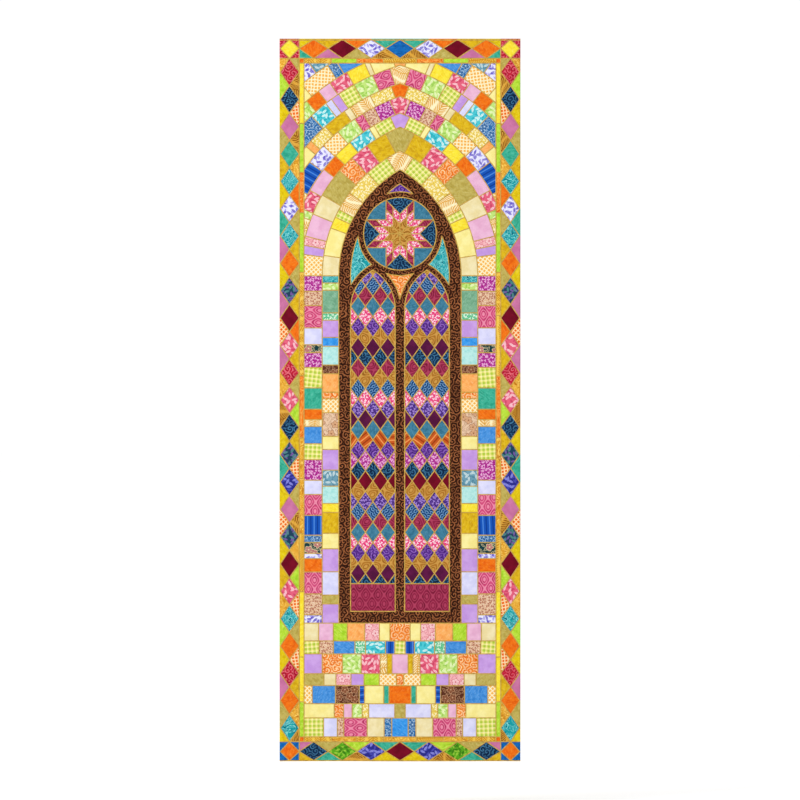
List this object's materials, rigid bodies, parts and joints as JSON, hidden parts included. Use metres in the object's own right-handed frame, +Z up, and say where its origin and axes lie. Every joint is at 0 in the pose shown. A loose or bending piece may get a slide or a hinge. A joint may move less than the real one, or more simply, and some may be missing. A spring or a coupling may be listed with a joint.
{
  "type": "church banner",
  "caption": "Tall narrow hanging cloth of pieced patchwork with gold stitched seams, hemmed all round, hung flat by its top edge.",
  "frame": {"origin": "middle of the top edge of the cloth, where the banner is held", "axes": "+Z up along the banner's height, +Y towards the back with the hems, the patchwork faces -Y"},
  "size_m": [0.61, 0.0074, 1.83],
  "materials": {
    "patchwork_cotton": "matt printed and batik cottons in many colours, pieced together",
    "gold_thread": "soft satin stitch in ochre gold rayon thread",
    "ground_cotton": "plain unbleached cotton weave"
  },
  "bodies": {
    "root": {"banner_cloth": "patchwork_cotton"}
  },
  "joints": []
}
